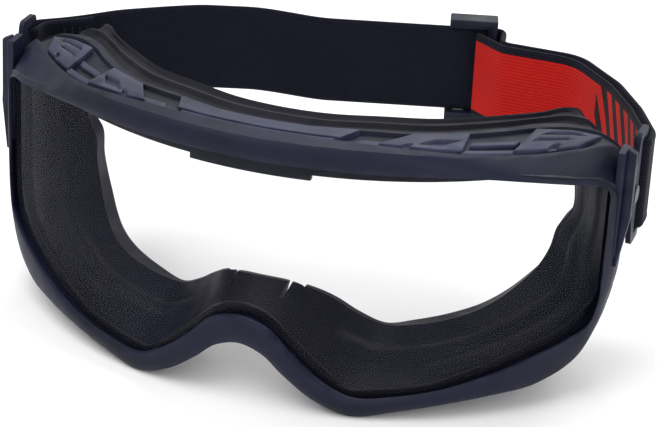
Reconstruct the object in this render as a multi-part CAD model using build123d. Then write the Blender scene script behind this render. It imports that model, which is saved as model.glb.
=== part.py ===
from build123d import *
import math
import os

# Safety goggles with an elastic head strap. Millimetres.
# +X is the wearer's left, +Y the back of the head, +Z up.
# The origin is the middle of the seal's forehead edge, where the goggles meet the brow.

# ---------------------------------------------------------------- overall sizes
front_depth = 28.0            # rim's face ahead of the forehead edge, at the middle
lens_wrap = 54.5              # degrees that the rim and lens turn, from the middle to the side
frame_half_width = 85.5       # rim, out to its side
frame_top = 3.0               # top of the brow band at the middle
frame_drop = 73.0             # lowest corner of the rim, under the cheeks, below the forehead edge
rim_side = 2.5                # width of the rim at its side, seen from the front
brow_band = 6.4               # height of the brow band at the middle

# ---------------------------------------------------------------- rim and frame walls
rim_face = 1.8                # rim in front of the lens
rim_depth = 9.6               # rim, front to back
skirt_inset = 1.2             # lens edge past the opening
seat_gap = 0.1                # lens and gasket to the pieces round them
lens_thickness = 2.0
gasket_thickness = 1.0
gasket_width = 2.4
shell_inset = 2.0             # frame shell in from the rim's outline
shell_wall = 2.2
flange_wall = 2.5             # rear flange of the shell
shell_rear_step = 11.5        # shell's rear, ahead of the face
shell_side_depth = 13.4       # shell's rear at its sides, behind the rim's face there

# ---------------------------------------------------------------- face seal
face_inset = 5.5              # the face curve's half width, in from the rim's side
face_curve_depth = 92.0
window_inset = 18.5           # the seal's window, in from the rim's side
window_top = -7.0
seal_wall = 4.0
seal_lip = 1.8                # seal's lip in front of the shell's rear flange
seal_lip_rise = 1.5
seal_brim = 2.5               # soft brim against the face, front to back
seal_brim_rise = 2.6
seal_gap = 0.1
flap_half_width = 9.0         # level top of the nose flap
flap_rise = 29.3              # nose flap's top above the rim's lowest corner
slit_width = 1.0
slit_length = 5.0
slit_lean = 13.0              # degrees that each slit leans outward

# ---------------------------------------------------------------- vents
cover_thickness = 1.4
cover_setback = 0.6           # cover's outer face in from the rim's outline
cover_joint = 0.1             # cover to the rim in front of it
cover_step = 1.0              # cover's rear edge, ahead of the shell's
cover_notch = 3.2             # along the brow, and nearly as deep
middle_cover_half = 24.0
cover_spacing = 3.0           # between one cover and the next
side_cover_end = 11.5         # cover's outer end, in from the rim's side
vent_slot = 9.0               # along the brow
vent_pitch = 14.0
vent_count = 9
vent_margin = 0.9             # wall left in front of and behind each slot
lower_vent_x = 56.0
lower_vent = 16.0             # along the cheek
lower_vent_depth = 6.0
lower_cover_margin = 4.0
screen_thickness = 0.5

# ---------------------------------------------------------------- lens retainer
ledge = 1.5                   # shell's ledge behind the gasket
retainer_depth = 1.6
retainer_height = 2.0
tab_half_width = 16.0
tab_drop = 1.5

# ---------------------------------------------------------------- strap and its clips
strap_width = 25.0
strap_thickness = 1.5
strap_z = -18.0               # mid-height of the strap
fold_gap = 0.2                # strap to the bar that it goes round
pad_rise = 0.1                # flat pad on the rim's side, out past the rim
pad_depth = 8.0
pad_height = 29.5
pad_boss = 4.2                # radius of the pad round the pin
fin_rise = 2.4                # guard fin, out past the pad
fin_thickness = 2.2
fin_top = -3.0
fin_foot = -35.5
clip_gap = 0.15               # clip to the pad
clip_plate = 1.4
clip_rail = 2.6               # above and below the strap
clip_bar = 2.4                # front to back
clip_slot = 3.3               # front to back
clip_slot_play = 0.7          # slot longer than the strap is wide, at each end
clip_front_wall = 4.2         # pin to the slot
pivot_depth = 9.4             # pin behind the rim's face at its side
pin_radius = 1.6
pin_running_gap = 0.05
pin_anchor = 1.0              # pin's depth in the pad
pin_head_radius = 2.6
pin_head = 0.7
pin_head_gap = 0.1

# ---------------------------------------------------------------- slider on the strap
slider_x = 25.0
slider_length = 13.4
slider_rail = 2.6             # rails above and below the strap
slider_bar = 2.5
slider_bar_depth = 1.7
slider_play = 0.35            # strap to the bars and rails
strap_slope = 0.30            # the strap's straight stretch across the back of the head
straight_start = (-22.0, 73.2)

# ---------------------------------------------------------------- worked-out places
lens_radius = frame_half_width / math.sin(math.radians(lens_wrap))
axis_y = lens_radius - front_depth
side_face_y = axis_y - lens_radius * math.cos(math.radians(lens_wrap))
shell_side_rear = side_face_y + shell_side_depth
opening_half_width = frame_half_width - rim_side
opening_top = frame_top - brow_band
window_half_width = frame_half_width - window_inset
face_half_width = frame_half_width - face_inset
flap_top = flap_rise - frame_drop
lens_front = rim_face + seat_gap
lens_back = lens_front + lens_thickness
gasket_back = lens_back + seat_gap + gasket_thickness
pad_x = frame_half_width + pad_rise
clip_inner_x = pad_x + clip_gap
clip_outer_x = clip_inner_x + clip_plate
pivot_y = side_face_y + pivot_depth
slot_front_y = pivot_y + clip_front_wall
bar_front_y = slot_front_y + clip_slot
bar_rear_y = bar_front_y + clip_bar
slot_half_height = strap_width / 2 + clip_slot_play
fold_offset = fold_gap + strap_thickness / 2
fold_inner_x = clip_inner_x - fold_offset
fold_outer_x = clip_outer_x + fold_offset
fold_front_y = bar_front_y - fold_offset
fold_radius = strap_thickness / 2 + 0.45
slider_angle = math.degrees(math.atan(strap_slope))
slider_y = straight_start[1] + (slider_x - straight_start[0]) * strap_slope
reach = 150.0                 # longer than anything that it cuts or crosses


def face_y(x):
    """How far behind the forehead edge the face is, at a distance from the middle."""
    return face_curve_depth * (1 - math.sqrt(1 - (x / face_half_width) ** 2))


seal_rear = face_y(window_half_width)


def outline(right_half, radii):
    """Closed front-view outline, symmetric about x = 0, from its right-hand corners."""
    on_axis = right_half[0][0] == 0
    side = right_half[1:] if on_axis else right_half
    side_radii = radii[1:] if on_axis else radii
    corners = right_half + [(-x, z) for x, z in reversed(side)]
    corner_radii = radii + list(reversed(side_radii))
    points = [(x, 0, z) for x, z in corners]
    return make_face(FilletPolyline(*points, radius=corner_radii, close=True))


def prism(face):
    """The face carried front to back through everything."""
    return extrude(face, amount=reach, both=True)


def behind_rim_face(depth):
    """All that lies further back than the rim's face moved back by a depth."""
    drum = Cylinder(lens_radius, 2 * reach)
    rear = Box(2 * lens_radius, reach, 2 * reach, align=(Align.CENTER, Align.MIN, Align.CENTER))
    return Pos(0, axis_y + depth, 0) * (drum + rear)


def lens_layer(front, back):
    """A curved layer of even thickness, between two depths square to the rim's face."""
    half_space = Box(4 * reach, reach, 2 * reach, align=(Align.CENTER, Align.MAX, Align.CENTER))
    drum = Cylinder(lens_radius - front, 2 * reach) - Cylinder(lens_radius - back, 2 * reach)
    return (Pos(0, axis_y, 0) * drum) & (Pos(0, axis_y, 0) * half_space)


def inside_lens_curve(depth):
    """All that lies inside the lens curve, at a depth square to the rim's face."""
    drum = Cylinder(lens_radius - depth, 2 * reach)
    rear = Box(2 * (lens_radius - depth), reach, 2 * reach, align=(Align.CENTER, Align.MIN, Align.CENTER))
    return Pos(0, axis_y, 0) * (drum + rear)


def behind_face_curve(step, rear_limit):
    """All that lies further back than the face curve moved ahead by a step, or than a limit."""
    oval = Pos(0, face_curve_depth - step, 0) * Ellipse(face_half_width, face_curve_depth)
    rear = Box(2 * reach, 2 * reach, 2 * reach, align=(Align.CENTER, Align.MIN, Align.CENTER))
    return extrude(oval, amount=reach, both=True) + Pos(0, rear_limit, 0) * rear


def slab(x_range, y_range, z_range):
    """A box from its three ranges."""
    size = [high - low for low, high in (x_range, y_range, z_range)]
    middle = [(high + low) / 2 for low, high in (x_range, y_range, z_range)]
    return Pos(*middle) * Box(*size)


# ---------------------------------------------------------------- front-view outlines
lobe_x = 27.1                 # lowest corner of the rim, from the middle
lobe_floor = 13.5 - frame_drop
rim_outline = outline(
    [
        (0, 20.4 - frame_drop),
        (lobe_x, -frame_drop),
        (frame_half_width - 8.0, 9.5 - frame_drop),
        (frame_half_width - 1.2, 26.0 - frame_drop),
        (frame_half_width, 43.0 - frame_drop),
        (frame_half_width - 0.7, frame_top - 10.5),
        (frame_half_width - 21.5, frame_top - 5.0),
        (frame_half_width - 51.5, frame_top),
    ],
    [10, 9, 10, 18, 40, 4, 25, 60],
)
opening_outline = outline(
    [
        (0, 31.2 - frame_drop),
        (lobe_x, 5.6 - frame_drop),
        (opening_half_width - 35.0, 8.0 - frame_drop),
        (opening_half_width - 6.5, 20.0 - frame_drop),
        (opening_half_width, 27.5 - frame_drop),
        (opening_half_width, opening_top - 8.4),
        (opening_half_width - 21.0, opening_top - 1.6),
        (opening_half_width - 41.0, opening_top),
    ],
    [12, 6, 12, 8, 8, 3, 25, 40],
)
window_outline = outline(
    [
        (flap_half_width, flap_top),
        (lobe_x + 1.9, 11.5 - frame_drop),
        (window_half_width - 6.5, 20.5 - frame_drop),
        (window_half_width - 0.5, 35.0 - frame_drop),
        (window_half_width, window_top - 6.3),
        (window_half_width - 33.0, window_top),
    ],
    [3, 3.5, 12, 16, 10, 60],
)
lens_outline = offset(opening_outline, amount=skirt_inset)
lens_pocket_outline = offset(lens_outline, amount=seat_gap)
gasket_bore_outline = offset(lens_outline, amount=-gasket_width)
shell_outline = offset(rim_outline, amount=-shell_inset)
shell_bore_outline = offset(shell_outline, amount=-shell_wall)
cover_outline = offset(rim_outline, amount=-cover_setback)
cover_layer_outline = cover_outline - offset(cover_outline, amount=-cover_thickness)
screen_layer_outline = shell_bore_outline - offset(shell_bore_outline, amount=-screen_thickness)
seal_outline = offset(window_outline, amount=seal_wall)
seal_hole_outline = offset(seal_outline, amount=seal_gap)


def make_front_rim():
    """The bezel: a face in front of the lens edge, a skirt round the lens and a flat pad each side."""
    face = prism(rim_outline - opening_outline) & lens_layer(0, rim_face)
    skirt = prism(rim_outline - lens_pocket_outline) & (behind_rim_face(0) - behind_rim_face(rim_depth))
    rim = face + skirt
    pad_inner_x = pad_x - pin_anchor
    pad_y = (side_face_y, side_face_y + pad_depth)
    pad_z = (strap_z - pad_height / 2, strap_z + pad_height / 2)
    pad = slab((pad_inner_x, pad_x), pad_y, pad_z) & behind_rim_face(0)
    pad += pin_cylinder(pad_boss, pad_inner_x, pad_x)
    hole = pin_cylinder(pin_radius, pad_inner_x, pad_x + 1)
    left_pad = pad - hole
    rim = rim - hole - mirror(hole, about=Plane.YZ)
    return rim + left_pad + mirror(left_pad, about=Plane.YZ)


def make_lens():
    """One-piece lens, bent round a vertical axis."""
    return prism(lens_outline) & lens_layer(lens_front, lens_back)


def make_gasket():
    """Soft ring between the lens and the shell's ledge."""
    return prism(lens_outline - gasket_bore_outline) & lens_layer(lens_back + seat_gap, gasket_back)


def make_brow_retainer():
    """Lip behind the top edge of the lens, under the ledge, with a longer tab in the middle."""
    lip_top = opening_top + skirt_inset - gasket_width
    lip_end = opening_half_width - 14
    lip = slab((-lip_end, lip_end), (-reach, reach), (lip_top - retainer_height, lip_top))
    tab_height = (lip_top - retainer_height - tab_drop, lip_top)
    tab = slab((-tab_half_width, tab_half_width), (-reach, reach), tab_height)
    front = lens_back + seat_gap
    return (lip + tab) & lens_layer(front, front + retainer_depth) & prism(gasket_bore_outline)


def make_frame_shell():
    """Rigid frame behind the rim: side walls, a ledge behind the gasket and a rear flange for the seal."""
    rear = behind_face_curve(shell_rear_step, shell_side_rear)
    before_flange = behind_face_curve(shell_rear_step + flange_wall, shell_side_rear - flange_wall)
    wall_region = behind_rim_face(rim_depth) - rear
    walls = prism(shell_outline - shell_bore_outline) & wall_region
    flange = prism(shell_outline - seal_hole_outline) & before_flange & wall_region
    ledge_end = behind_rim_face(rim_depth + ledge)
    plug_region = inside_lens_curve(gasket_back + seat_gap) - behind_rim_face(rim_depth)
    plug = prism(lens_outline - gasket_bore_outline) & plug_region
    shoulder = prism(shell_outline - gasket_bore_outline) & (behind_rim_face(rim_depth) - ledge_end)
    shell = walls + flange + plug + shoulder
    slot_end = behind_face_curve(shell_rear_step + flange_wall + vent_margin, shell_side_rear - flange_wall)
    slot_region = behind_rim_face(rim_depth + ledge + vent_margin / 2) - slot_end
    for index in range(vent_count):
        x = (index - (vent_count - 1) / 2) * vent_pitch
        slot = slab((x - vent_slot / 2, x + vent_slot / 2), (-reach, reach), (window_top, reach))
        shell -= slot & slot_region
    for side in (-1, 1):
        vent_x = (side * lower_vent_x - lower_vent / 2, side * lower_vent_x + lower_vent / 2)
        shell -= slab(vent_x, lower_vent_y(), (-reach, lobe_floor))
    return shell


def lower_vent_y():
    """Front-to-back place of the lower vents, midway along the shell's floor."""
    front = axis_y + rim_depth - math.sqrt(lens_radius**2 - lower_vent_x**2)
    middle = (front + face_y(lower_vent_x) - shell_rear_step) / 2
    return (middle - lower_vent_depth / 2, middle + lower_vent_depth / 2)


def make_vent_cover(x_low, x_high, notches):
    """A raised cover over the brow vents between two x values, notched along its rear edge."""
    region = behind_rim_face(rim_depth + cover_joint)
    region -= behind_face_curve(shell_rear_step + cover_step, shell_side_rear - cover_step)
    span = slab((x_low, x_high), (-reach, reach), (frame_top - 18, reach))
    cover = prism(cover_layer_outline) & region & span
    for x in notches:
        notch_front = face_y(x) - shell_rear_step - cover_step - cover_notch / 2
        cover -= slab((x - cover_notch / 2, x + cover_notch / 2), (notch_front, reach), (-reach, reach))
    return cover


def make_side_cover():
    """Vent cover over the wearer's left eye."""
    start = middle_cover_half + cover_spacing
    return make_vent_cover(start, frame_half_width - side_cover_end, [start + 11, start + 23])


def make_lower_cover():
    """Left cover over the lower vents, under the cheek."""
    y_low, y_high = lower_vent_y()
    half = lower_vent / 2 + lower_cover_margin
    x_range = (lower_vent_x - half, lower_vent_x + half)
    region = slab(x_range, (y_low - 1, y_high + 1), (-reach, lobe_floor))
    region &= behind_rim_face(rim_depth + cover_joint)
    return prism(cover_layer_outline) & region


def make_vent_screen():
    """Left fine screen under the brow vents."""
    region = behind_rim_face(rim_depth + ledge + seal_gap)
    rear_limit = shell_side_rear - flange_wall - seal_lip - vent_margin
    region -= behind_face_curve(shell_rear_step + flange_wall + seal_lip + vent_margin, rear_limit)
    x_range = (3, opening_half_width - 21)
    return prism(screen_layer_outline) & region & slab(x_range, (-reach, reach), (frame_top - 15, reach))


def make_face_seal():
    """Soft seal: a wall back to the face, a lip inside the shell, a brim on the face and a slit nose flap."""
    rear = behind_face_curve(0, seal_rear)
    lip_depth = flange_wall + seal_lip
    wall_region = behind_face_curve(shell_rear_step + lip_depth, shell_side_rear - lip_depth) - rear
    past_flange = flange_wall + seal_gap
    past_lip = behind_face_curve(shell_rear_step + past_flange, shell_side_rear - past_flange)
    brim_region = behind_face_curve(seal_brim, seal_rear - seal_brim) - rear
    lip_outline = offset(seal_outline, amount=seal_lip_rise)
    brim_outline = offset(seal_outline, amount=seal_brim_rise)
    seal = prism(seal_outline - window_outline) & wall_region
    lip = prism(lip_outline - window_outline) & (wall_region - past_lip)
    seal += lip & behind_rim_face(rim_depth + ledge + seal_gap)
    seal += prism(brim_outline - window_outline) & brim_region
    for side in (-1, 1):
        slit = Box(slit_width, 2 * reach, slit_length + 3, align=(Align.CENTER, Align.CENTER, Align.MIN))
        lean = Rot(0, side * slit_lean, 0) * Pos(0, 0, -slit_length) * slit
        seal -= Pos(side * (flap_half_width - slit_width), 0, flap_top) * lean
    return seal


def pin_cylinder(radius, x_low, x_high):
    """A cylinder on the left pivot's axis."""
    length = x_high - x_low
    return Pos((x_low + x_high) / 2, pivot_y, strap_z) * Rot(0, 90, 0) * Cylinder(radius, length)


def side_plate(corners, radii, x_low, thickness):
    """A plate square to X, from its side-view corners (y, z)."""
    points = [(x_low, y, z) for y, z in corners]
    outline = make_face(FilletPolyline(*points, radius=radii, close=True))
    return extrude(outline, amount=thickness, dir=(1, 0, 0))


def make_bracket():
    """Left guard fin: a wall on the pad in front of the clip, leaning forward and tapering to its foot."""
    knee = strap_z - 1.0
    front_y = side_face_y + 2.6
    foot_y = side_face_y + 0.9
    rear_y = front_y + fin_thickness
    side_view = [
        (front_y + 0.2, fin_top),
        (rear_y, fin_top),
        (rear_y, knee),
        (foot_y + 1.4, fin_foot),
        (foot_y, fin_foot),
        (front_y, knee),
    ]
    wall = side_plate(side_view, [0.6, 0.6, 6, 0.4, 0.4, 6], pad_x, fin_rise)
    tip_x = pad_x + fin_rise
    front_view = [
        (pad_x, fin_top),
        (tip_x, fin_top - 1.2),
        (tip_x, knee - 3.0),
        (pad_x + 0.4, fin_foot),
        (pad_x, fin_foot),
    ]
    points = [(x, 0, z) for x, z in front_view]
    return wall & prism(make_face(Polyline(*points, close=True)))


def make_clip():
    """Left strap clip: an eye on the pin and a slotted end with a bar for the strap."""
    top = strap_z + slot_half_height + clip_rail
    bottom = strap_z - slot_half_height - clip_rail
    eye = pin_radius + 2.4
    neck_y = slot_front_y - 2.0
    corners = [
        (pivot_y - 1, strap_z + eye),
        (neck_y, top),
        (bar_rear_y, top),
        (bar_rear_y, bottom),
        (neck_y, bottom),
        (pivot_y - 1, strap_z - eye),
    ]
    plate = side_plate(corners, [0.8, 1.5, 1.5, 1.5, 1.5, 0.8], clip_inner_x, clip_plate)
    plate += pin_cylinder(eye, clip_inner_x, clip_outer_x)
    slot_z = (strap_z - slot_half_height, strap_z + slot_half_height)
    plate -= slab((clip_inner_x - 1, clip_outer_x + 1), (slot_front_y, bar_front_y), slot_z)
    return plate - pin_cylinder(pin_radius + pin_running_gap, clip_inner_x - 1, clip_outer_x + 1)


def make_pin():
    """Left pivot pin: a shank through the clip into the pad, with a low head outside."""
    head_x = clip_outer_x + pin_head_gap
    shank = pin_cylinder(pin_radius, pad_x - pin_anchor, head_x)
    head = pin_cylinder(pin_head_radius, head_x, head_x + pin_head)
    return shank + chamfer(head.edges().group_by(Axis.X)[-1], 0.3)


def ribbon(route, radii):
    """Webbing on edge along a plan-view route of straight runs and arcs."""
    points = [(x, y, strap_z) for x, y in route]
    path = FilletPolyline(*points, radius=radii)
    start = Plane(origin=path @ 0, x_dir=(0, 0, 1), z_dir=path % 0)
    section = start * Rectangle(strap_width, strap_thickness)
    return sweep(section, path)


def inward(start, end, distance):
    """A step square to the run from start to end, towards the inside of the strap loop."""
    run_x = end[0] - start[0]
    run_y = end[1] - start[1]
    length = math.hypot(run_x, run_y)
    return (run_y / length * distance, -run_x / length * distance)


# ---------------------------------------------------------------- sewn end of the strap
fold_exit = (-fold_outer_x, bar_rear_y + 2.2)
left_turn = (-fold_outer_x + 19.0, bar_rear_y + 17.5)
sewn_run = (left_turn[0] - fold_exit[0], left_turn[1] - fold_exit[1])
sewn_step = inward(fold_exit, left_turn, strap_thickness + 0.15)
sewn_share = 0.70             # how far along that run the sewn end reaches
sewn_slope = sewn_run[1] / sewn_run[0]
sewn_corner_y = fold_exit[1] + sewn_step[1] + (fold_outer_x - fold_inner_x - sewn_step[0]) * sewn_slope
sewn_end = (
    fold_exit[0] + sewn_step[0] + sewn_run[0] * sewn_share,
    fold_exit[1] + sewn_step[1] + sewn_run[1] * sewn_share,
)


def make_webbing():
    """The strap from its sewn end, round the right clip's bar and the head, to the left clip."""
    route = [
        sewn_end,
        (-fold_inner_x, sewn_corner_y),
        (-fold_inner_x, fold_front_y),
        (-fold_outer_x, fold_front_y),
        fold_exit,
        left_turn,
        (-fold_outer_x + 40.0, bar_rear_y + 28.9),
        straight_start,
        (slider_x + 8.4, slider_y + 8.4 * strap_slope),
        (35.2, 80.3),
        (58.0, 80.1),
        (fold_outer_x - 15.6, bar_rear_y + 30.2),
        (fold_outer_x - 6.8, bar_rear_y + 16.7),
        (fold_outer_x, bar_rear_y + 3.0),
        (fold_outer_x, fold_front_y + 2.6),
    ]
    return ribbon(route, [6, fold_radius, fold_radius, 6, 30, 30, 20, 2.2, 3, 12, 20, 20, 6])


def make_adjusting_leg():
    """The strap's other end: round the left clip's bar and back along the inside to the slider."""
    route = [
        (slider_x + 2.4, slider_y - 3.6),
        (36.5, 77.6),
        (57.0, 77.6),
        (fold_outer_x - 17.6, bar_rear_y + 28.6),
        (fold_outer_x - 9.1, bar_rear_y + 15.6),
        (fold_inner_x, bar_rear_y + 4.0),
        (fold_inner_x, fold_front_y),
        (fold_outer_x, fold_front_y),
        (fold_outer_x, fold_front_y + 2.6),
    ]
    return ribbon(route, [5, 12, 20, 20, 8, fold_radius, fold_radius])


def make_slider():
    """Slider: rails above and below the strap joined by two outer bars and one inner bar."""
    half = slider_length / 2
    play = strap_thickness / 2 + slider_play
    depth = play + slider_bar_depth
    rail_low = strap_width / 2 + slider_play
    rail_high = rail_low + slider_rail
    height = (-rail_high, rail_high)
    frame = slab((-half, half), (-depth, depth), height)
    frame -= slab((-half - 1, half + 1), (-reach, reach), (-rail_low, rail_low))
    frame += slab((-half, -half + slider_bar), (play, depth), height)
    frame += slab((-slider_bar / 2, slider_bar / 2), (play, depth), height)
    frame += slab((half - slider_bar, half), (-depth, -play), height)
    return Pos(slider_x, slider_y, strap_z) * Rot(0, 0, slider_angle) * frame


def make_stitching():
    """Rows of short raised stitches on the inside face of the strap's sewn end."""
    angle = math.degrees(math.atan(sewn_slope))
    face = inward(fold_exit, left_turn, strap_thickness / 2)
    start = Pos(sewn_end[0] + face[0], sewn_end[1] + face[1], strap_z) * Rot(0, 0, angle)
    stitches = []
    for row in range(4):
        for column in range(6):
            place = Pos(-2.0 - row * 2.2, -0.15, (column - 2.5) * 3.6)
            stitches.append(start * place * Box(0.6, 0.3, 2.6))
    return Compound(children=stitches)


parts = {
    "front_rim": make_front_rim(),
    "lens": make_lens(),
    "lens_gasket": make_gasket(),
    "brow_retainer": make_brow_retainer(),
    "frame_shell": make_frame_shell(),
    "face_seal": make_face_seal(),
    "vent_cover_middle": make_vent_cover(-middle_cover_half, middle_cover_half, [-12, 0, 12]),
    "strap_webbing": make_webbing(),
    "strap_adjusting_leg": make_adjusting_leg(),
    "strap_slider": make_slider(),
    "sewn_end_stitching": make_stitching(),
}
left_pieces = {
    "vent_cover": make_side_cover(),
    "vent_screen": make_vent_screen(),
    "lower_vent_cover": make_lower_cover(),
    "side_bracket": make_bracket(),
    "strap_clip": make_clip(),
    "pivot_pin": make_pin(),
}
for name, piece in left_pieces.items():
    parts[f"{name}_left"] = piece
    parts[f"{name}_right"] = mirror(piece, about=Plane.YZ)

os.makedirs("parts", exist_ok=True)
for name, piece in parts.items():
    export_step(piece, f"parts/{name}.step")
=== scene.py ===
import math

import bmesh
import bpy
import numpy as np
from mathutils import Matrix, Vector


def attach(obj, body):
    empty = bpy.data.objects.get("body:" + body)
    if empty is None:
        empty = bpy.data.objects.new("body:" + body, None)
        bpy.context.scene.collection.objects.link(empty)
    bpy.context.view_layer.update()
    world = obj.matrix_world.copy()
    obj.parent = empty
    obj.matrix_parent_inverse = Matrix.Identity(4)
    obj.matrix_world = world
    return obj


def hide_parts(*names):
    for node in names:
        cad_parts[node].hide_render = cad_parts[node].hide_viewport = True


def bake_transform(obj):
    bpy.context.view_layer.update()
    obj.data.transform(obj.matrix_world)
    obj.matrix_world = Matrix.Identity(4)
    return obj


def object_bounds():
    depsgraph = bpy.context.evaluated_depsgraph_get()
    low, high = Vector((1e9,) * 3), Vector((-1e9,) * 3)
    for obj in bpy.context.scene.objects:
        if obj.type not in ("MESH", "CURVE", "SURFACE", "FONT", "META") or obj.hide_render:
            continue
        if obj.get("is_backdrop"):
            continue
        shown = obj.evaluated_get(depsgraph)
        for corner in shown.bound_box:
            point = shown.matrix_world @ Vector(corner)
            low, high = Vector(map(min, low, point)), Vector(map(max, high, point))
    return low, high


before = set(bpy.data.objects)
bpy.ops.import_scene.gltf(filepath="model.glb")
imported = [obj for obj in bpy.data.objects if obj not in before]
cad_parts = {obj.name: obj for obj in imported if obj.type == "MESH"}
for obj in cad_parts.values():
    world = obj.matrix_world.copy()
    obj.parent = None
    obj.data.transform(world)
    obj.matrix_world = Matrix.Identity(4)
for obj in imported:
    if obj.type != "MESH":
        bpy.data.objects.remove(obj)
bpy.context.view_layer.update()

MM = 0.001
LENS_RADIUS = 105.02
AXIS_Y = 77.02
STRAP_Z = -18.0
PIVOT_Y = 25.435
PAD_BOSS = 4.2
STRAP_HALF_WIDTH = 12.5
STRAP_PITCH = 1.65
BACK_LIFT = 2.2
CORD_PITCH = 0.95
THREAD_PITCH = 0.8
MARK_PITCH = 6.4
MARK_SHARE = 0.5
RED_HALF_WIDTH = 10.7
SCREEN_PITCH = 0.0009
SLIT_LEAN = 13
PER_STATION = 14
BOTH_SIDES = (("left", 1), ("right", -1))


# ------------------------------------------------------------ camera
def aim_camera():
    """A long lens from the wearer's front left, above the brow."""
    camera = bpy.data.objects.new("camera", bpy.data.cameras.new("camera"))
    bpy.context.scene.collection.objects.link(camera)
    camera.location = (0.19509, -0.54848, 0.25288)
    camera.data.sensor_width = 36.0
    camera.data.lens = 136.99
    back = Vector((0.31543, -0.84965, 0.42262))
    right = Vector((0.93748, 0.34804, 0.0))
    up = back.cross(right)
    roll = 0.03565
    right, up = (
        math.cos(roll) * right + math.sin(roll) * up,
        math.cos(roll) * up - math.sin(roll) * right,
    )
    back = (back - 0.0318 * right + 0.01693 * up).normalized()
    right = (right - right.dot(back) * back).normalized()
    up = back.cross(right)
    camera.rotation_mode = "QUATERNION"
    camera.rotation_quaternion = Matrix((right, up, back)).transposed().to_quaternion()
    camera.data.clip_start = 0.01
    camera.data.clip_end = 50
    bpy.context.scene.camera = camera


aim_camera()


# ------------------------------------------------------------ mesh helpers
def add_object(name, vertices, faces, sharp=32.0, attributes=None):
    """A smooth-shaded object from millimetre vertices, with edges over an angle kept sharp."""
    mesh = bpy.data.meshes.new(name)
    mesh.from_pydata((np.asarray(vertices) * MM).tolist(), [], faces)
    for key, values in (attributes or {}).items():
        layer = mesh.attributes.new(key, "FLOAT_VECTOR", "POINT")
        layer.data.foreach_set("vector", np.asarray(values, np.float32).ravel())
    work = bmesh.new()
    work.from_mesh(mesh)
    bmesh.ops.recalc_face_normals(work, faces=work.faces)
    work.to_mesh(mesh)
    work.free()
    mesh.shade_smooth()
    mesh.set_sharp_from_angle(angle=math.radians(sharp))
    made = bpy.data.objects.new(name, mesh)
    bpy.context.scene.collection.objects.link(made)
    return made


def dress(piece, material, body, replaces=()):
    """Material, body and the CAD nodes that a piece stands for."""
    piece.data.materials.clear()
    piece.data.materials.append(material)
    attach(piece, body)
    if replaces:
        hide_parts(*replaces)
    return piece


def apply_modifiers(piece):
    """The piece's mesh with its modifiers applied."""
    depsgraph = bpy.context.evaluated_depsgraph_get()
    mesh = bpy.data.meshes.new_from_object(piece.evaluated_get(depsgraph))
    piece.modifiers.clear()
    piece.data = mesh


def bevel(piece, width, segments=2, angle=35.0):
    """Rounded edges, width in millimetres."""
    modifier = piece.modifiers.new("edges", "BEVEL")
    modifier.width = width * MM
    modifier.segments = segments
    modifier.limit_method = "ANGLE"
    modifier.angle_limit = math.radians(angle)
    modifier.harden_normals = True
    apply_modifiers(piece)


def cut(piece, cutters):
    """The piece less its cutters, which are removed."""
    for cutter in cutters:
        modifier = piece.modifiers.new("cut", "BOOLEAN")
        modifier.operation = "DIFFERENCE"
        modifier.solver = "EXACT"
        modifier.object = cutter
    bpy.context.view_layer.update()
    apply_modifiers(piece)
    for cutter in cutters:
        bpy.data.objects.remove(cutter)
    piece.data.set_sharp_from_angle(angle=math.radians(32))


def rounded_copy(node, name, width, segments=2):
    """The CAD node's shape with its flat faces merged and its edges rounded."""
    work = bmesh.new()
    work.from_mesh(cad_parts[node].data)
    bmesh.ops.remove_doubles(work, verts=work.verts, dist=1e-6)
    bmesh.ops.dissolve_limit(work, angle_limit=math.radians(1.0), verts=work.verts, edges=work.edges)
    mesh = bpy.data.meshes.new(name)
    work.to_mesh(mesh)
    work.free()
    made = bpy.data.objects.new(name, mesh)
    bpy.context.scene.collection.objects.link(made)
    made.data.shade_smooth()
    bevel(made, width, segments)
    made.data.set_sharp_from_angle(angle=math.radians(40))
    return made


# ------------------------------------------------------------ rings
def rim_y(x, depth=0.0):
    """Front-to-back place of a point that lies a depth behind the rim's curved face."""
    return AXIS_Y - np.sqrt(LENS_RADIUS**2 - np.minimum(np.abs(x), 104.0) ** 2) + depth


def ring(stations):
    """A smooth closed ring through stations (x, y, z) given from the top middle to the bottom middle."""
    half = np.array(stations, float)
    other = half[1:-1][::-1] * (-1, 1, 1)
    knots = np.vstack([half, other])
    after = np.roll(knots, -1, 0)
    before = np.roll(knots, 1, 0)
    ahead = np.linalg.norm(after - knots, axis=1)[:, None]
    behind = np.linalg.norm(knots - before, axis=1)[:, None]
    tangent = ((after - knots) / ahead * behind + (knots - before) / behind * ahead) / (ahead + behind)
    t = (np.arange(PER_STATION) / PER_STATION)[None, :, None]
    p0, p1 = knots[:, None], after[:, None]
    m0, m1 = (tangent * ahead)[:, None], (np.roll(tangent, -1, 0) * ahead)[:, None]
    spline = (2 * t**3 - 3 * t**2 + 1) * p0 + (t**3 - 2 * t**2 + t) * m0
    spline = spline + (3 * t**2 - 2 * t**3) * p1 + (t**3 - t**2) * m1
    return spline.reshape(-1, 3)


def outward(loop):
    """Unit normals of the ring in front view."""
    step = np.roll(loop, -1, 0) - np.roll(loop, 1, 0)
    normal = np.stack([-step[:, 2], np.zeros(len(loop)), step[:, 0]], 1)
    return normal / np.maximum(np.linalg.norm(normal, axis=1), 1e-9)[:, None]


def inset(loop, amount, back=0.0):
    """The ring moved in towards its middle, and back. Either amount may change along the ring."""
    amount = np.broadcast_to(np.asarray(amount, float), (len(loop),))
    moved = loop - outward(loop) * amount[:, None]
    moved[:, 1] += back
    return moved


def per_station(values):
    """One number for each place on a ring from numbers at its stations."""
    half = list(values)
    knots = np.array(half + half[1:-1][::-1] + half[:1], float)
    places = np.arange((len(knots) - 1) * PER_STATION) / PER_STATION
    low = places.astype(int)
    t = places - low
    t = t * t * (3 - 2 * t)
    return knots[low] * (1 - t) + knots[low + 1] * t


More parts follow.
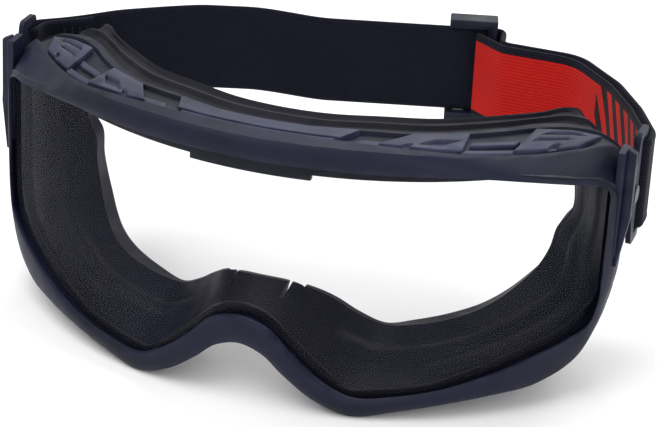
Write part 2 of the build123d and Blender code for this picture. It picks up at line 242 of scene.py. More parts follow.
def loft(name, rings, sharp=32.0, attributes=None):
    """A closed solid whose section runs through the rings and back to the first."""
    count = len(rings[0])
    faces = []
    for row in range(len(rings)):
        below = (row + 1) % len(rings)
        for i in range(count):
            j = (i + 1) % count
            faces.append((row * count + i, row * count + j, below * count + j, below * count + i))
    return add_object(name, np.vstack(rings), faces, sharp, attributes)


def on_rim(points, depth):
    """Stations in front view placed on the rim's curved face."""
    depths = np.broadcast_to(np.asarray(depth, float), (len(points),))
    return [(x, float(rim_y(x, d)), z) for (x, z), d in zip(points, depths)]


OPENING = [
    (0, -3.3), (12, -3.3), (25, -3.45), (38, -3.6), (49, -4.0), (57, -4.8), (66, -6.5), (75, -8.9),
    (80.8, -10.9), (83.2, -13.4), (83.4, -18), (83.4, -28), (83.3, -38), (83.0, -45.0), (81.6, -50.2),
    (77.6, -53.3), (70, -56.8), (60, -60.9), (50, -64.0), (40, -65.8), (29, -66.3), (22, -62.6),
    (14.3, -56), (6.6, -48.8), (0, -47.2),
]
OUTER = [
    (0, 2.5), (12, 2.5), (25, 2.4), (38, 1.9), (49, 0.7), (57, -0.9), (65, -3.0), (74, -4.2),
    (80.5, -4.9), (84.2, -8.6), (85.3, -17), (85.5, -28), (85.4, -38), (84.4, -45), (83.2, -51),
    (80.0, -59.0), (72, -64.8), (61, -66.8), (50, -68.5), (40, -70.3), (29, -71.9), (20.0, -68.3),
    (12, -62.3), (5.8, -57.0), (0, -55.3),
]
OUTER_DEPTH = [1.6, 1.6, 1.6, 1.8, 2.6, 5.0, 9.0, 12.5, 13.2, 10.5, 2.6] + [1.6] * 14
STEP_RISE = [0.3, 0.3, 0.3, 0.3, 0.3, 0.3, 0.2, 0.1, 0.1, 0.1] + [0.0] * 15
STEP_DEPTH = [6.6, 6.5, 5.8, 4.8, 4.6, 6.8, 10.6, 13.6, 14.4, 12.6, 8.5] + [7.5] * 14
FRAME_REAR = [
    (0, -12, 1.5), (12, -11.2, 1.5), (25, -6.8, 1.3), (38, -1.5, 0.8), (48, 7.0, -0.3), (55, 15.5, -1.5),
    (62, 25.0, -2.8), (69, 30.6, -4.0), (77, 30.4, -5.0), (82.6, 29.4, -8.5), (83.5, 29.4, -17),
    (83.5, 29.4, -28), (83.4, 29.4, -38), (82.4, 29.4, -44.5), (81.2, 29.4, -50), (78.0, 29.4, -57.3),
    (70.5, 29.0, -62.8), (60.5, 20.4, -64.9), (49.5, 8.1, -66.6), (40, 0.8, -68.4), (29, -5.1, -69.9),
    (20.9, -8.3, -66.4), (13.2, -10.2, -60.5), (6.6, -11.2, -55.2), (0, -11.5, -53.4),
]
SEAL_REAR = [
    (0, 0, 0), (12, 1.1, 0), (25, 5.7, -0.2), (38, 11, -0.5), (47, 19, -1.4), (54, 25.6, -2), (60, 32, -2.6),
    (64.5, 37.9, -2.9), (67.6, 41.2, -4.3), (70.0, 41.6, -8.5), (71, 41.6, -17), (71.2, 41.6, -28),
    (71, 41.6, -38), (69.5, 41, -44.5), (67.5, 39.5, -49.5), (64.5, 37, -53.5), (60, 30.8, -57.5),
    (53, 23, -60), (46, 16.6, -62), (38, 11, -64), (29, 6.2, -65.6), (22, 3.4, -63), (15.5, 1.7, -57.2),
    (8, 0.4, -51), (0, 0, -49.4),
]
WINDOW = [
    (0, -1.5, -7), (12, -0.8, -7), (25, 3, -7), (38, 8.5, -7.3), (47, 15.5, -8), (54, 22, -9),
    (60, 28.5, -10.5),
    (65, 33, -12), (68, 34.5, -14), (69.3, 34.5, -17), (69.5, 34.5, -22), (69.4, 34.5, -30),
    (66.3, 33, -35), (65.2, 31, -40.5), (62.9, 28, -45.5), (60, 23.7, -48.5), (56, 18, -51.5),
    (51.7, 13, -53.5), (45, 7.4, -55.2), (36, 4.5, -57.3), (29, 4.8, -58.8), (22.5, 1.2, -55.1),
    (17, -2, -50.5), (9, -9.0, -44.5), (0, -10.5, -43.6),
]
WINDOW_REAR_GAP = [4.2] * 12 + [5.5, 6.0, 6.5, 7.0, 7.0, 6.5, 6.0, 4.5, 2.2, 2.2, 2.2, 2.0, 1.9]

opening = ring(on_rim(OPENING, 0))
outer = ring(on_rim(OUTER, OUTER_DEPTH))
step_line = ring(on_rim([(x, z + r) for (x, z), r in zip(OUTER, STEP_RISE)], STEP_DEPTH))
frame_rear = ring(FRAME_REAR)
seal_rear = ring(SEAL_REAR)
window = ring(WINDOW)
outer_depth = per_station(OUTER_DEPTH)


# ------------------------------------------------------------ materials
def srgb(red, green, blue):
    """Scene-linear colour from display values of 0 to 255."""
    shares = [value / 255 for value in (red, green, blue)]
    return tuple(c / 12.92 if c <= 0.0404 else ((c + 0.055) / 1.055) ** 2.4 for c in shares) + (1,)


class Nodes:
    """Short calls for building one material's node tree."""

    def __init__(self, name):
        self.material = bpy.data.materials.new(name)
        self.material.use_nodes = True
        self.tree = self.material.node_tree
        self.shader = self.tree.nodes["Principled BSDF"]
        self.coordinates = self.tree.nodes.new("ShaderNodeTexCoord").outputs["Object"]

    def node(self, kind, inputs=(), **settings):
        made = self.tree.nodes.new(kind)
        for key, value in settings.items():
            setattr(made, key, value)
        for key, value in dict(inputs).items():
            if isinstance(value, bpy.types.NodeSocket):
                self.tree.links.new(value, made.inputs[key])
            else:
                made.inputs[key].default_value = value
        return made

    def math(self, operation, *values):
        return self.node("ShaderNodeMath", enumerate(values), operation=operation).outputs[0]

    def noise(self, scale, detail=2.0, roughness=0.5, vector=None):
        inputs = {"Vector": vector or self.coordinates, "Scale": scale}
        inputs.update({"Detail": detail, "Roughness": roughness})
        return self.node("ShaderNodeTexNoise", inputs).outputs["Fac"]

    def ramp(self, value, low, high, to_low=0.0, to_high=1.0):
        inputs = {"Value": value, "From Min": low, "From Max": high, "To Min": to_low, "To Max": to_high}
        return self.node("ShaderNodeMapRange", inputs).outputs[0]

    def mix(self, factor, first, second):
        made = self.node("ShaderNodeMix", {0: factor}, data_type="RGBA")
        for socket, value in ((6, first), (7, second)):
            if isinstance(value, bpy.types.NodeSocket):
                self.tree.links.new(value, made.inputs[socket])
            else:
                made.inputs[socket].default_value = value
        return made.outputs[2]

    def bump(self, height, strength, distance, normal=None):
        inputs = {"Height": height, "Strength": strength, "Distance": distance}
        if normal is not None:
            inputs["Normal"] = normal
        return self.node("ShaderNodeBump", inputs).outputs["Normal"]

    def set(self, **values):
        for key, value in values.items():
            socket = self.shader.inputs[key.replace("_", " ")]
            if isinstance(value, bpy.types.NodeSocket):
                self.tree.links.new(value, socket)
            else:
                socket.default_value = value


def plastic(name, dark, light, roughness, grain, scuffs=0.5):
    """Moulded plastic: slow colour drift, paler edges, fine grain and a few rubbed patches."""
    n = Nodes(name)
    drift = n.ramp(n.noise(28, 3), 0.35, 0.65)
    edge = n.ramp(n.node("ShaderNodeNewGeometry").outputs["Pointiness"], 0.505, 0.56)
    worn = n.math("MULTIPLY", edge, n.ramp(n.noise(160, 3), 0.4, 0.65))
    base = n.mix(drift, dark, light)
    pale = tuple(min(1.0, c * 1.8 + 0.012) for c in light[:3]) + (1,)
    colour = n.mix(n.math("MULTIPLY", worn, scuffs), base, pale)
    fine = n.noise(2600, 2, 0.6)
    slow = n.noise(190, 3)
    patches = n.math("ADD", n.math("MULTIPLY", slow, 0.7), n.math("MULTIPLY", fine, 0.3))
    gloss = n.ramp(patches, 0.3, 0.7, roughness - 0.07, roughness + 0.09)
    normal = n.bump(fine, grain, 0.00006)
    n.set(Base_Color=colour, Roughness=gloss, Normal=n.bump(slow, 0.06, 0.0004, normal))
    n.set(Specular_IOR_Level=0.2)
    return n.material


def soft_rubber(name, dark, light, roughness, sheen=0.0):
    """Soft moulded elastomer: silky, with faint flow marks and a cool and warm tint that drifts."""
    n = Nodes(name)
    drift = n.ramp(n.noise(22, 4, 0.6), 0.35, 0.65)
    colour = n.mix(drift, dark, light)
    tint = n.ramp(n.noise(34, 2), 0.52, 0.7)
    warm = tuple(min(1.0, c * k) for c, k in zip(light[:3], (1.35, 0.85, 1.0))) + (1,)
    colour = n.mix(n.math("MULTIPLY", tint, 0.5), colour, warm)
    fine = n.noise(3400, 2)
    slow = n.noise(120, 3)
    gloss = n.ramp(slow, 0.3, 0.7, roughness - 0.08, roughness + 0.1)
    normal = n.bump(fine, 0.04, 0.00003, n.bump(slow, 0.1, 0.0005))
    n.set(Base_Color=colour, Roughness=gloss, Normal=normal)
    n.set(Specular_IOR_Level=0.14, Sheen_Weight=sheen)
    return n.material


def webbing(name, thread, gap, bars=None):
    """Woven elastic: cords along the strap and threads across, with painted shade in the hollows between them.
    bars adds a coloured face with slanted marks.
    """
    n = Nodes(name)
    weave = n.node("ShaderNodeAttribute", attribute_name="weave").outputs["Vector"]
    parts = n.node("ShaderNodeSeparateXYZ", {"Vector": weave}).outputs
    along, across = parts["X"], parts["Y"]
    cord = n.math("ABSOLUTE", n.math("SINE", n.math("MULTIPLY", across, math.pi / CORD_PITCH)))
    lane = n.math("FLOOR", n.math("DIVIDE", across, CORD_PITCH))
    travel = n.math("MULTIPLY", along, 2 * math.pi / THREAD_PITCH)
    phase = n.math("ADD", travel, n.math("MULTIPLY", lane, math.pi))
    cross = n.math("MULTIPLY_ADD", n.math("SINE", phase), 0.5, 0.5)
    height = n.math("MULTIPLY_ADD", cross, 0.45, n.math("MULTIPLY", cord, 0.55))
    fuzz = n.noise(1800, 3, 0.7)
    height = n.math("MULTIPLY_ADD", fuzz, 0.25, height)
    shade = n.ramp(height, 0.25, 1.0)
    wear = n.ramp(n.noise(60, 3), 0.3, 0.75)
    # painted shade: the colour runs from the gap colour in the weave's hollows to the thread colour on its high
    # points
    colour = n.mix(shade, gap, thread)
    if bars:
        face, face_gap_shade, mark, start, end, face_end = bars
        # painted shade: the red face darkens in the weave's hollows
        panel = n.mix(shade, face_gap_shade, face)
        rubbed = tuple(c * 1.25 for c in face[:3]) + (1,)
        panel = n.mix(n.math("MULTIPLY", wear, 0.25), panel, rubbed)
        lean = n.math("MULTIPLY_ADD", across, 0.5, along)
        stripe = n.math("LESS_THAN", n.math("FRACT", n.math("DIVIDE", lean, MARK_PITCH)), MARK_SHARE)
        held = n.math("MULTIPLY", n.math("GREATER_THAN", along, start), n.math("LESS_THAN", along, end))
        inside = n.math("LESS_THAN", n.math("ABSOLUTE", across), 10.9)
        marks = n.math("MULTIPLY", n.math("MULTIPLY", stripe, held), inside)
        panel = n.mix(marks, panel, mark)
        frayed = n.math("MULTIPLY_ADD", fuzz, 0.5, n.math("ABSOLUTE", across))
        edge = n.math("GREATER_THAN", frayed, RED_HALF_WIDTH)
        edge = n.math("MAXIMUM", edge, n.math("GREATER_THAN", along, face_end))
        colour = n.mix(edge, panel, colour)
    else:
        rubbed = tuple(c * 1.5 + 0.004 for c in thread[:3]) + (1,)
        colour = n.mix(n.math("MULTIPLY", wear, 0.2), colour, rubbed)
    n.set(Base_Color=colour, Roughness=n.ramp(height, 0.2, 1.0, 0.9, 0.72))
    n.set(Normal=n.bump(height, 0.55, 0.00022))
    n.set(Sheen_Weight=0.05, Sheen_Roughness=0.5, Specular_IOR_Level=0.12)
    return n.material


def clear_lens(name):
    """Clear coated polycarbonate: see-through, denser at a slant as a painted dark reflection, with faint
    scratches and a lilac cast.
    """
    n = Nodes(name)
    facing = n.node("ShaderNodeLayerWeight", {"Blend": 0.5}).outputs["Facing"]
    # painted reflection: at grazing angles the lens turns more opaque and shows its dark tint
    slant_reflection = n.math("POWER", facing, 4.5)
    stretch = {"Vector": n.coordinates, "Rotation": (0, 0.5, 0), "Scale": (60, 60, 1400)}
    stretched = n.node("ShaderNodeMapping", stretch).outputs["Vector"]
    scratch = n.ramp(n.noise(1.0, 3, 0.7, stretched), 0.74, 0.8)
    haze = n.ramp(n.noise(14, 2), 0.3, 0.7, 0.02, 0.035)
    alpha = n.math("ADD", n.math("MULTIPLY_ADD", slant_reflection, 0.14, haze), n.math("MULTIPLY", scratch, 0.02))
    tint = n.mix(n.ramp(n.noise(20, 1), 0.35, 0.65), srgb(70, 68, 96), srgb(62, 74, 92))
    n.set(Base_Color=tint, Roughness=n.ramp(n.noise(40, 2), 0.3, 0.7, 0.03, 0.07))
    n.set(Alpha=n.math("MINIMUM", alpha, 0.9))
    n.set(Specular_IOR_Level=0.6)
    return n.material


def mesh_screen(name):
    """Fine woven vent screen: dark threads, with painted shade in the holes between them."""
    n = Nodes(name)
    axes = n.node("ShaderNodeSeparateXYZ", {"Vector": n.coordinates}).outputs
    waves = [n.math("MULTIPLY", axes[key], math.pi / SCREEN_PITCH) for key in ("X", "Y")]
    rows = [n.math("ABSOLUTE", n.math("SINE", wave)) for wave in waves]
    thread = n.math("MAXIMUM", rows[0], rows[1])
    # painted shade: the holes take a near-black colour instead of showing through to the dark inside
    colour = n.mix(n.ramp(thread, 0.6, 0.95), srgb(4, 4, 6), srgb(34, 35, 44))
    n.set(Base_Color=colour, Roughness=n.ramp(n.noise(300), 0.3, 0.7, 0.6, 0.8))
    n.set(Normal=n.bump(thread, 0.6, 0.0002))
    return n.material


mat_bezel = plastic("moulded_bezel", srgb(12, 14, 30), srgb(19, 22, 44), 0.5, 0.3)
mat_frame = plastic("moulded_frame", srgb(10, 12, 25), srgb(16, 18, 36), 0.55, 0.3)
mat_vent = plastic("moulded_vent", srgb(36, 39, 56), srgb(49, 52, 74), 0.5, 0.35)
mat_hardware = plastic("moulded_hardware", srgb(13, 15, 30), srgb(21, 24, 44), 0.46, 0.3)
mat_pin = plastic("pin_plastic", srgb(28, 29, 36), srgb(40, 41, 50), 0.3, 0.2)
mat_seal = soft_rubber("seal_rubber", srgb(7, 8, 17), srgb(13, 14, 27), 0.5)
mat_gasket = soft_rubber("gasket_rubber", srgb(6, 6, 12), srgb(13, 13, 22), 0.5)
# painted shade: each webbing's second colour, and the second colour of RED_PANEL, darkens the weave's hollows
mat_webbing = webbing("strap_weave", srgb(13, 15, 32), srgb(5, 6, 13))
RED_PANEL = (srgb(190, 24, 16), srgb(128, 11, 8), srgb(26, 10, 18), 44.0, 76.0, 81.0)
mat_red_webbing = webbing("strap_weave_red", srgb(13, 15, 32), srgb(5, 6, 13), RED_PANEL)
mat_thread = webbing("sewing_thread", srgb(40, 43, 60), srgb(22, 24, 34))
mat_lens = clear_lens("lens_clear")
mat_screen = mesh_screen("vent_mesh")


# ------------------------------------------------------------ front rim
def rim_layer(share, depth=0.0):
    """A ring part of the way from the opening's edge to the rim's outer edge, rounded on its way out."""
    flat = opening * (1 - share) + outer * share
    slope = np.clip((outer_depth - 2.5) / 8, 0, 1)
    power = 3.2 - 2.0 * slope * slope * (3 - 2 * slope)
    flat[:, 1] = rim_y(flat[:, 0], depth + (outer_depth - depth) * share**power)
    return flat


def at_depth(loop, depth):
    """The ring's front view at a depth behind the rim's curved face."""
    moved = loop.copy()
    moved[:, 1] = rim_y(moved[:, 0], depth)
    return moved


def side_pad(side):
    """The flat pad on the rim's side that the guard fin sits on, with a round boss at the pin."""
    turns = [math.radians(angle) for angle in range(-100, 101, 10)]
    boss = [(PIVOT_Y + PAD_BOSS * math.cos(t), STRAP_Z + PAD_BOSS * math.sin(t)) for t in reversed(turns)]
    corners = [(16.6, -3.6), (22.6, -3.4)] + boss + [(22.0, -32.6), (16.8, -32.6), (16.2, -31.6)]
    vertices = [(side * x, y, z) for x in (83.6, 85.56) for y, z in corners]
    count = len(corners)
    faces = [tuple(range(count)), tuple(range(2 * count - 1, count - 1, -1))]
    faces += [(i, (i + 1) % count, count + (i + 1) % count, count + i) for i in range(count)]
    pad = add_object(f"pad_{side}", vertices, faces)
    bevel(pad, 0.25)
    return pad


def join(pieces, name):
    """One object from several."""
    bpy.ops.object.select_all(action="DESELECT")
    for piece in pieces:
        piece.select_set(True)
    bpy.context.view_layer.objects.active = pieces[0]
    bpy.ops.object.join()
    pieces[0].name = name
    pieces[0].data.name = name
    return pieces[0]


pocket = inset(opening, -1.3)
rim_rings = [
    at_depth(pocket, 9.4),
    at_depth(pocket, 2.05),
    at_depth(inset(opening, -0.3), 1.95),
    at_depth(opening, 1.7),
    at_depth(opening, 0.7),
    at_depth(inset(opening, -0.22), 0.22),
]
rim_rings += [rim_layer(share) for share in (0.14, 0.3, 0.46, 0.6, 0.72, 0.82, 0.9, 0.96, 1.0)]
rim_rings += [
    outer * 0.6 + step_line * 0.4,
    step_line,
    inset(step_line, 0.25, 0.2),
    inset(step_line, 1.0, 0.3),
    at_depth(inset(step_line, 1.4), np.maximum(per_station(STEP_DEPTH) + 1.0, 9.5)),
]
rim = loft("front_rim_bezel", rim_rings)
rim = join([rim, side_pad(1), side_pad(-1)], "front_rim_bezel")
dress(rim, mat_bezel, "goggle", ["front_rim"])

# ------------------------------------------------------------ frame shell
def between(first, second, share, drop=0.0):
    """A ring part of the way between two, moved in."""
    return inset(first * (1 - share) + second * share, drop)


on_top = per_station([1.0] * 8 + [0.6, 0.2] + [0.0] * 15)
shell_rings = [
    inset(step_line, 1.6 + 0.2 * on_top, 0.5),
    inset(step_line, 1.15 + 0.15 * on_top, 1.0),
    between(step_line, frame_rear, 0.3, 1.1 + 0.2 * on_top),
    between(step_line, frame_rear, 0.6, 0.6 + 0.6 * on_top),
    between(step_line, frame_rear, 0.82, 0.2 + 0.9 * on_top),
    between(step_line, frame_rear, 0.86, 0.1),
    inset(frame_rear, 0.0, -0.5),
    inset(frame_rear, 0.35, 0.0),
    inset(frame_rear, 2.0, -0.1),
    inset(frame_rear, 2.3, -2.0),
    between(step_line, frame_rear, 0.5, 3.0),
    inset(step_line, 3.2, 2.0),
]
shell = loft("frame_body", shell_rings)
dress(shell, mat_frame, "goggle", ["frame_shell"])


# ------------------------------------------------------------ face seal
def smooth(value, low, high):
    t = np.clip((value - low) / (high - low), 0, 1)
    return t * t * (3 - 2 * t)


station = np.minimum(np.arange(len(opening)) / PER_STATION, 48 - np.arange(len(opening)) / PER_STATION)
FUNNEL_ROWS = 34
seal_front = at_depth(inset(opening, 0.15), 4.6)


def funnel(share):
    """The seal's inner surface part of the way from the lens to the window, with its moulded ridges."""
    bow = 1.35 * smooth(station, 12, 15) + 1.0 * (1 - smooth(station, 12, 15))
    across = share**bow
    loop = seal_front.copy()
    for axis, part in ((0, across), (1, share), (2, across)):
        loop[:, axis] = seal_front[:, axis] * (1 - part) + window[:, axis] * part
    under = smooth(station, 10.5, 12.5) * (1 - smooth(station, 20.6, 21.6))
    ridge = smooth(share, 0.50, 0.56) * (1 - smooth(share, 0.60, 0.74))
    low = smooth(station, 12.0, 14.0) * (1 - smooth(station, 18.2, 18.6))
    shelf = smooth(share, 0.20, 0.24) * (1 - smooth(share, 0.3, 0.5))
    side = (1 - smooth(station, 11, 13)) * smooth(station, 8.5, 9.5)
    band = smooth(share, 0.30, 0.34) * (1 - smooth(share, 0.52, 0.56))
    band = band + 0.7 * smooth(share, 0.74, 0.78) * (1 - smooth(share, 0.9, 0.94))
    lift = 1.1 * under * ridge + 0.9 * low * shelf + 0.7 * side * band
    return inset(loop, lift)


window_back = ring([
    (x * 1.006, y + gap, z - (0.5 if z < -40 else -0.5))
    for (x, y, z), gap in zip(WINDOW, WINDOW_REAR_GAP)
])
seal_rings = [funnel(i / FUNNEL_ROWS) for i in range(FUNNEL_ROWS + 1)]
seal_rings += [
    inset(window, -0.1, 0.5),
    between(window, window_back, 0.6, 0.0),
    window_back,
    between(window_back, seal_rear, 0.5, 0.4),
    inset(seal_rear, 0.9, 0.0),
    inset(seal_rear, 0.25, 0.0),
    inset(seal_rear, 0.0, -0.35),
    inset(seal_rear, 0.15, -0.9),
    between(frame_rear, seal_rear, 0.86, 0.9),
    between(frame_rear, seal_rear, 0.72, 1.2),
    between(frame_rear, seal_rear, 0.64, 0.5),
    between(frame_rear, seal_rear, 0.56, 0.45),
    between(frame_rear, seal_rear, 0.46, 1.5),
    between(frame_rear, seal_rear, 0.25, 2.0),
    between(frame_rear, seal_rear, 0.1, 1.7),
    inset(frame_rear, 2.4, -0.3),
    inset(frame_rear, 2.6, -2.4),
    inset(window, -3.0, -2.5) * 0.5 + inset(frame_rear, 4.5, -4.0) * 0.5,
    inset(funnel(0.45), -1.5),
    inset(seal_front, -1.0, 0.3),
]
seal = loft("face_seal_soft", seal_rings, 38)


def flap_cutter(name, outline, front):
    """Cutter through the nose flap: an outline (x, z) from a front plane out past the seal's rear."""
    vertices = [(x, y, z) for y in (front, 4.0) for x, z in outline]
    faces = [(0, 1, 2, 3), (7, 6, 5, 4), (0, 4, 5, 1), (1, 5, 6, 2), (2, 6, 7, 3), (3, 7, 4, 0)]
    return add_object(name, vertices, faces)


def flap_slit(side):
    """Cutter for one slit in the nose flap."""
    half = 0.5
    lean = math.tan(math.radians(SLIT_LEAN))
    top_x, top, bottom = 8.4, -40.0, -54.5
    foot_x = top_x - lean * (top - bottom)
    outline = [
        (top_x - half, top),
        (top_x + half, top),
        (foot_x + half * 0.7, bottom),
        (foot_x - half * 0.7, bottom),
    ]
    return flap_cutter(f"slit_{side}", [(side * x, z) for x, z in outline], -15.0)


def flap_hollow():
    """Cutter for the space behind the nose flap, which leaves the flap thin."""
    outline = [(-12.0, -40.0), (12.0, -40.0), (9.0, -55.0), (-9.0, -55.0)]
    return flap_cutter("flap_hollow", outline, -8.2)


cut(seal, [flap_slit(1), flap_slit(-1), flap_hollow()])
dress(seal, mat_seal, "goggle", ["face_seal"])

# ------------------------------------------------------------ brow vents
DECK_X = [0, 12, 20, 30, 38, 49, 57, 65, 74, 80.5]
DECK_FRONT_DEPTH = [6.9, 6.8, 6.5, 5.8, 5.1, 4.9, 7.1, 10.9, 13.9, 14.6]
DECK_FRONT_Z = [3.0, 3.0, 3.0, 2.8, 2.4, 1.3, -0.2, -2.2, -3.6, -4.3]
DECK_REAR_X = [0, 12, 25, 38, 48, 55, 62, 70, 78.5]
DECK_REAR_Y = [-12, -11.2, -6.8, -1.5, 7.0, 15.5, 23.5, 28.5, 29.4]
DECK_REAR_Z = [1.9, 1.9, 1.7, 1.2, 0.1, -1.1, -2.4, -3.6, -5.0]


def deck(x, share, rise):
    """A point on the brow deck: a place along the brow, a share of the way back, and a height above it."""
    a = np.abs(x)
    front_y = rim_y(a, np.interp(a, DECK_X, DECK_FRONT_DEPTH))
    rear_y = np.interp(a, DECK_REAR_X, DECK_REAR_Y)
    front_z = np.interp(a, DECK_X, DECK_FRONT_Z)
    rear_z = np.interp(a, DECK_REAR_X, DECK_REAR_Z)
    y = front_y * (1 - share) + rear_y * share
    z = front_z * (1 - share) + rear_z * share + rise
    return np.stack([x + 0 * share, y, z], -1)


def deck_block(name, front, rear, shares, rises=(0.0, 0.0), foot=-2.0, side=1, edge=0.3):
    """A block on the deck with slanted ends: its x range at the front and at the rear, and its shares back."""
    nx = max(4, int(abs(front[1] - front[0]) / 1.5))
    u = np.linspace(0, 1, nx + 1)[:, None]
    v = np.linspace(0, 1, 4)[None, :]
    share = shares[0] + (shares[1] - shares[0]) * v + 0 * u
    x = (front[0] + (front[1] - front[0]) * u) * (1 - v) + (rear[0] + (rear[1] - rear[0]) * u) * v
    rise = rises[0] + (rises[1] - rises[0]) * v + 0 * u
    top = deck(x, share, rise).reshape(-1, 3)
    bottom = deck(x, share, foot + 0 * share).reshape(-1, 3)
    rows, columns = x.shape
    total = rows * columns
    faces = []
    for i in range(rows - 1):
        for j in range(columns - 1):
            a = i * columns + j
            quad = (a, a + 1, a + columns + 1, a + columns)
            faces += [quad, tuple(total + k for k in reversed(quad))]
    rim_path = [i * columns for i in range(rows)] + [(rows - 1) * columns + j for j in range(1, columns)]
    rim_path += [i * columns + columns - 1 for i in range(rows - 2, -1, -1)] + list(range(columns - 2, 0, -1))
    for a, b in zip(rim_path, rim_path[1:] + rim_path[:1]):
        faces.append((a, b, total + b, total + a))
    vertices = np.vstack([top, bottom]) * (side, 1, 1)
    block = add_object(name, vertices, faces)
    if edge:
        bevel(block, edge)
    return block


def cover(name, blocks, notches, node):
    """One vent cover: blocks joined, with notches cut out."""
    made = join(blocks, name)
    if notches:
        cut(made, notches)
    dress(made, mat_vent, "goggle", [node])


middle = [
    deck_block("mid", (-21.5, 21.5), (-24, 24), (0.16, 0.82)),
    deck_block("mid_lip", (-20.0, 20.0), (-20.5, 20.5), (0.03, 0.15), (-0.45, -0.45)),
]
cover("vent_cover_mid", middle, [], "vent_cover_middle")
for name, side in BOTH_SIDES:
    blocks = [
        deck_block("c1", (31, 50), (36.5, 48.5), (0.08, 0.82), side=side),
        deck_block("c2", (24.5, 30.4), (26, 35.6), (0.02, 0.34), (-0.8, -0.8), side=side),
        deck_block("rib", (50.3, 59.6), (50.0, 60.0), (0.36, 0.5), (-0.7, -0.7), side=side),
        deck_block("rib2", (49.9, 60.6), (50.3, 60.2), (0.02, 0.16), (-0.5, -0.5), side=side),
        deck_block("e1", (60.5, 73.5), (61.5, 77), (0.08, 0.84), side=side),
    ]
    notches = [
        deck_block("n1", (39.5, 45.0), (42.5, 48.0), (0.22, 0.48), (2, 2), -0.9, side, 0),
        deck_block("n2", (36.0, 38.0), (37.0, 38.6), (-0.1, 0.2), (2, 2), -0.7, side, 0),
        deck_block("n3", (63.5, 72), (64.5, 74), (0.62, 0.70), (2, 2), -1.4, side, 0),
        deck_block("n4", (63, 70), (64, 71.5), (0.40, 0.47), (2, 2), -0.9, side, 0),
        deck_block("n5", (66.5, 68.5), (67.5, 69.5), (-0.1, 0.22), (2, 2), -0.8, side, 0),
    ]
    cover(f"vent_cover_{name}_raised", blocks, notches, f"vent_cover_{name}")

# ------------------------------------------------------------ carried and rounded CAD pieces
def rounded_piece(node, name, width, segments, material, body):
    """A rounded copy of a CAD node that stands for it."""
    dress(rounded_copy(node, name, width, segments), material, body, [node])


SIDE_PIECES = [
    ("lower_vent_cover", "lower_cover", 0.3, 2, mat_vent, "goggle", "vent"),
    ("side_bracket", "bracket", 0.4, 3, mat_hardware, "goggle", "hardware"),
    ("pivot_pin", "pin", 0.25, 3, mat_pin, "goggle", "hardware"),
    ("strap_clip", "clip", 0.4, 3, mat_hardware, "head_strap", "hardware"),
]
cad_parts["lens"].data.materials.clear()
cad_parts["lens"].data.materials.append(mat_lens)
for name in ("left", "right"):
    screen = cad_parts[f"vent_screen_{name}"]
    screen.data.materials.clear()
    screen.data.materials.append(mat_screen)
    for node, made, width, segments, material, body, slot in SIDE_PIECES:
        rounded_piece(f"{node}_{name}", f"{made}_{name}_rounded", width, segments, material, body)
rounded_piece("brow_retainer", "brow_lip_rounded", 0.35, 3, mat_gasket, "goggle")
rounded_piece("lens_gasket", "gasket_ring", 0.2, 2, mat_gasket, "goggle")
rounded_piece("strap_slider", "slider_rounded", 0.45, 3, mat_hardware, "slider")


# ------------------------------------------------------------ strap
def rounded_route(points, radii):
    """Closely spaced points along straight runs joined by arcs, in plan view."""
    line = [np.array(points[0], float)]
    for before, corner, after, radius in zip(points, points[1:], points[2:], radii):
        before, corner, after = (np.array(p, float) for p in (before, corner, after))
        u = (before - corner) / np.linalg.norm(before - corner)
        v = (after - corner) / np.linalg.norm(after - corner)
        turn = math.pi - math.acos(max(-1.0, min(1.0, float(u @ v))))
        if turn < 1e-3:
            continue
        reach = radius * math.tan(turn / 2)
        middle = corner + (u + v) / np.linalg.norm(u + v) * radius / math.cos(turn / 2)
        first = corner + u * reach - middle
        second = corner + v * reach - middle
        steps = max(3, int(turn / math.radians(7)))
        a0 = math.atan2(first[1], first[0])
        sweep = (math.atan2(second[1], second[0]) - a0 + math.pi) % (2 * math.pi) - math.pi
        for k in range(steps + 1):
            a = a0 + sweep * k / steps
            line.append(middle + radius * np.array([math.cos(a), math.sin(a)]))
    line.append(np.array(points[-1], float))
    dense = [line[0]]
    for start, end in zip(line, line[1:]):
        count = max(1, int(np.linalg.norm(end - start) / 2.0))
        dense += [start + (end - start) * (k + 1) / count for k in range(count)]
    return np.array(dense)


def strap_section():
    """The webbing's cross-section, across and through it: rounded firm edges and a slightly thinner middle."""
    half, edge, middle = STRAP_HALF_WIDTH, 0.75, 0.66
    side = [(-10.4, middle), (-6, middle), (-2, middle), (2, middle), (6, middle), (10.4, middle)]
    top = [(-12.1, 0.62), (-11.5, edge), (-10.9, edge)] + side + [(10.9, edge), (11.5, edge), (12.1, 0.62)]
    bottom = [(w, -t) for w, t in reversed(top)]
    return top + [(half, 0.3), (half, -0.3)] + bottom + [(-half, -0.3), (-half, 0.3)]


def ribbon(name, route, radii):
    """Webbing on edge along a route, with its weave's coordinates."""
    path = rounded_route(route, radii)
    step = np.gradient(path, axis=0)
    step /= np.linalg.norm(step, axis=1)[:, None]
    normal = np.stack([step[:, 1], -step[:, 0]], 1)
    along = np.concatenate([[0], np.cumsum(np.linalg.norm(np.diff(path, axis=0), axis=1))])
    section = strap_section()
    count = len(section)
    vertices, weave = [], []
    for point, side, length in zip(path, normal, along):
        lift = BACK_LIFT * float(smooth(point[1], 42, 66)) * (1 - float(smooth(point[0], -36, -13)))
        for w, t in section:
            vertices.append((point[0] + side[0] * t, point[1] + side[1] * t, STRAP_Z + lift + w))
            weave.append((length, w, t))
    faces = [tuple(range(count)), tuple(reversed(range(len(vertices) - count, len(vertices))))]
    for row in range(len(path) - 1):
        for i in range(count):
            j = (i + 1) % count
            faces.append((row * count + i, row * count + j, (row + 1) * count + j, (row + 1) * count + i))
    return add_object(name, vertices, faces, 50, {"weave": weave})


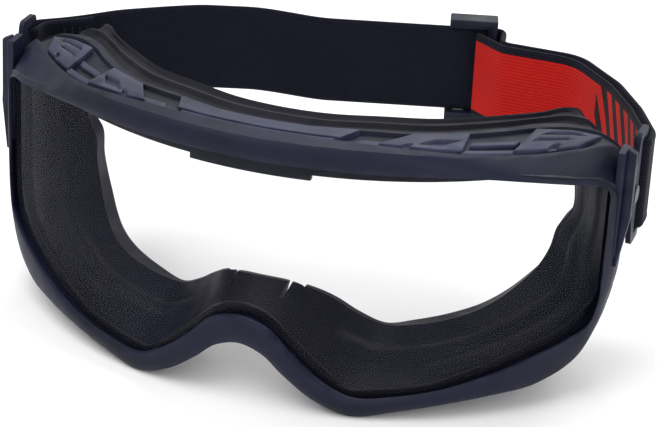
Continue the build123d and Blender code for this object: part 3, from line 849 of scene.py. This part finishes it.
FOLD_IN, FOLD_OUT, FOLD_Y, BAR_REAR = 84.80, 88.10, 31.985, 35.335
LEFT_TURN = (-FOLD_OUT + 19.0, BAR_REAR + 17.5)
FOLD_EXIT = (-FOLD_OUT, BAR_REAR + 2.2)
RUN = (LEFT_TURN[0] - FOLD_EXIT[0], LEFT_TURN[1] - FOLD_EXIT[1])
SEWN_X = FOLD_EXIT[0] + RUN[1] / math.hypot(*RUN) * STRAP_PITCH
SEWN_Y = FOLD_EXIT[1] - RUN[0] / math.hypot(*RUN) * STRAP_PITCH
MAIN_ROUTE = [
    (SEWN_X + RUN[0] * 0.70, SEWN_Y + RUN[1] * 0.70),
    (-FOLD_IN, SEWN_Y + (-FOLD_IN - SEWN_X) * RUN[1] / RUN[0]),
    (-FOLD_IN, FOLD_Y), (-FOLD_OUT, FOLD_Y), FOLD_EXIT, LEFT_TURN,
    (-48.10, 64.235), (-22, 73.2), (33.4, 89.8), (35.2, 80.3), (58, 80.1), (72.5, 65.535),
    (81.3, 52.035), (FOLD_OUT, 38.335), (FOLD_OUT, 34.585),
]
MAIN_RADII = [6, 1.2, 1.2, 6, 30, 30, 20, 2.2, 3, 12, 20, 20, 6]
LEG_ROUTE = [
    (27.4, 83.7), (36.5, 77.6), (57, 77.6), (70.5, 63.935), (79.0, 50.935),
    (FOLD_IN, 39.335), (FOLD_IN, FOLD_Y),
    (FOLD_OUT, FOLD_Y), (FOLD_OUT, 34.585),
]
LEG_RADII = [5, 12, 20, 20, 8, 1.2, 1.2]
main_strap = ribbon("head_webbing", MAIN_ROUTE, MAIN_RADII)
dress(main_strap, mat_webbing, "head_strap", ["strap_webbing"])
leg = ribbon("adjusting_webbing", LEG_ROUTE, LEG_RADII)
leg.data.materials.append(mat_red_webbing)
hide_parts("strap_adjusting_leg")
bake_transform(leg)

rounded_piece("sewn_end_stitching", "stitch_rows", 0.1, 2, mat_thread, "head_strap")


# ------------------------------------------------------------ studio
def studio():
    """Pale floor and soft light from above, in front and the side."""
    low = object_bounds()[0].z - 0.0004
    bpy.ops.mesh.primitive_plane_add(size=8, location=(0, 0, low))
    floor = bpy.context.object
    floor.name = "floor"
    n = Nodes("floor_paper")
    paper = n.mix(n.noise(3), (0.93, 0.93, 0.935, 1), (0.95, 0.95, 0.95, 1))
    n.set(Base_Color=paper, Roughness=0.9)
    n.set(Specular_IOR_Level=0.1)
    floor.data.materials.append(n.material)
    floor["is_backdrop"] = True
    world = bpy.data.worlds.new("studio")
    bpy.context.scene.world = world
    world.use_nodes = True
    world.node_tree.nodes["Background"].inputs[0].default_value = (1, 1, 1, 1)
    world.node_tree.nodes["Background"].inputs[1].default_value = 0.75
    lamps = [
        ("key", (-0.35, -0.35, 0.9), 0.9, 7.0),
        ("fill", (0.8, -0.7, 0.5), 0.8, 3.0),
        ("rear", (0.1, 0.8, 0.7), 0.9, 5.0),
    ]
    for name, place, size, power in lamps:
        light = bpy.data.lights.new(name, "AREA")
        light.energy = power
        light.size = size
        lamp = bpy.data.objects.new(name, light)
        lamp.location = place
        lamp.rotation_mode = "QUATERNION"
        aim = Vector((0, 0.02, -0.03)) - Vector(place)
        lamp.rotation_quaternion = aim.to_track_quat("-Z", "Y")
        bpy.context.scene.collection.objects.link(lamp)
    bpy.context.scene.view_settings.view_transform = "Standard"


studio()
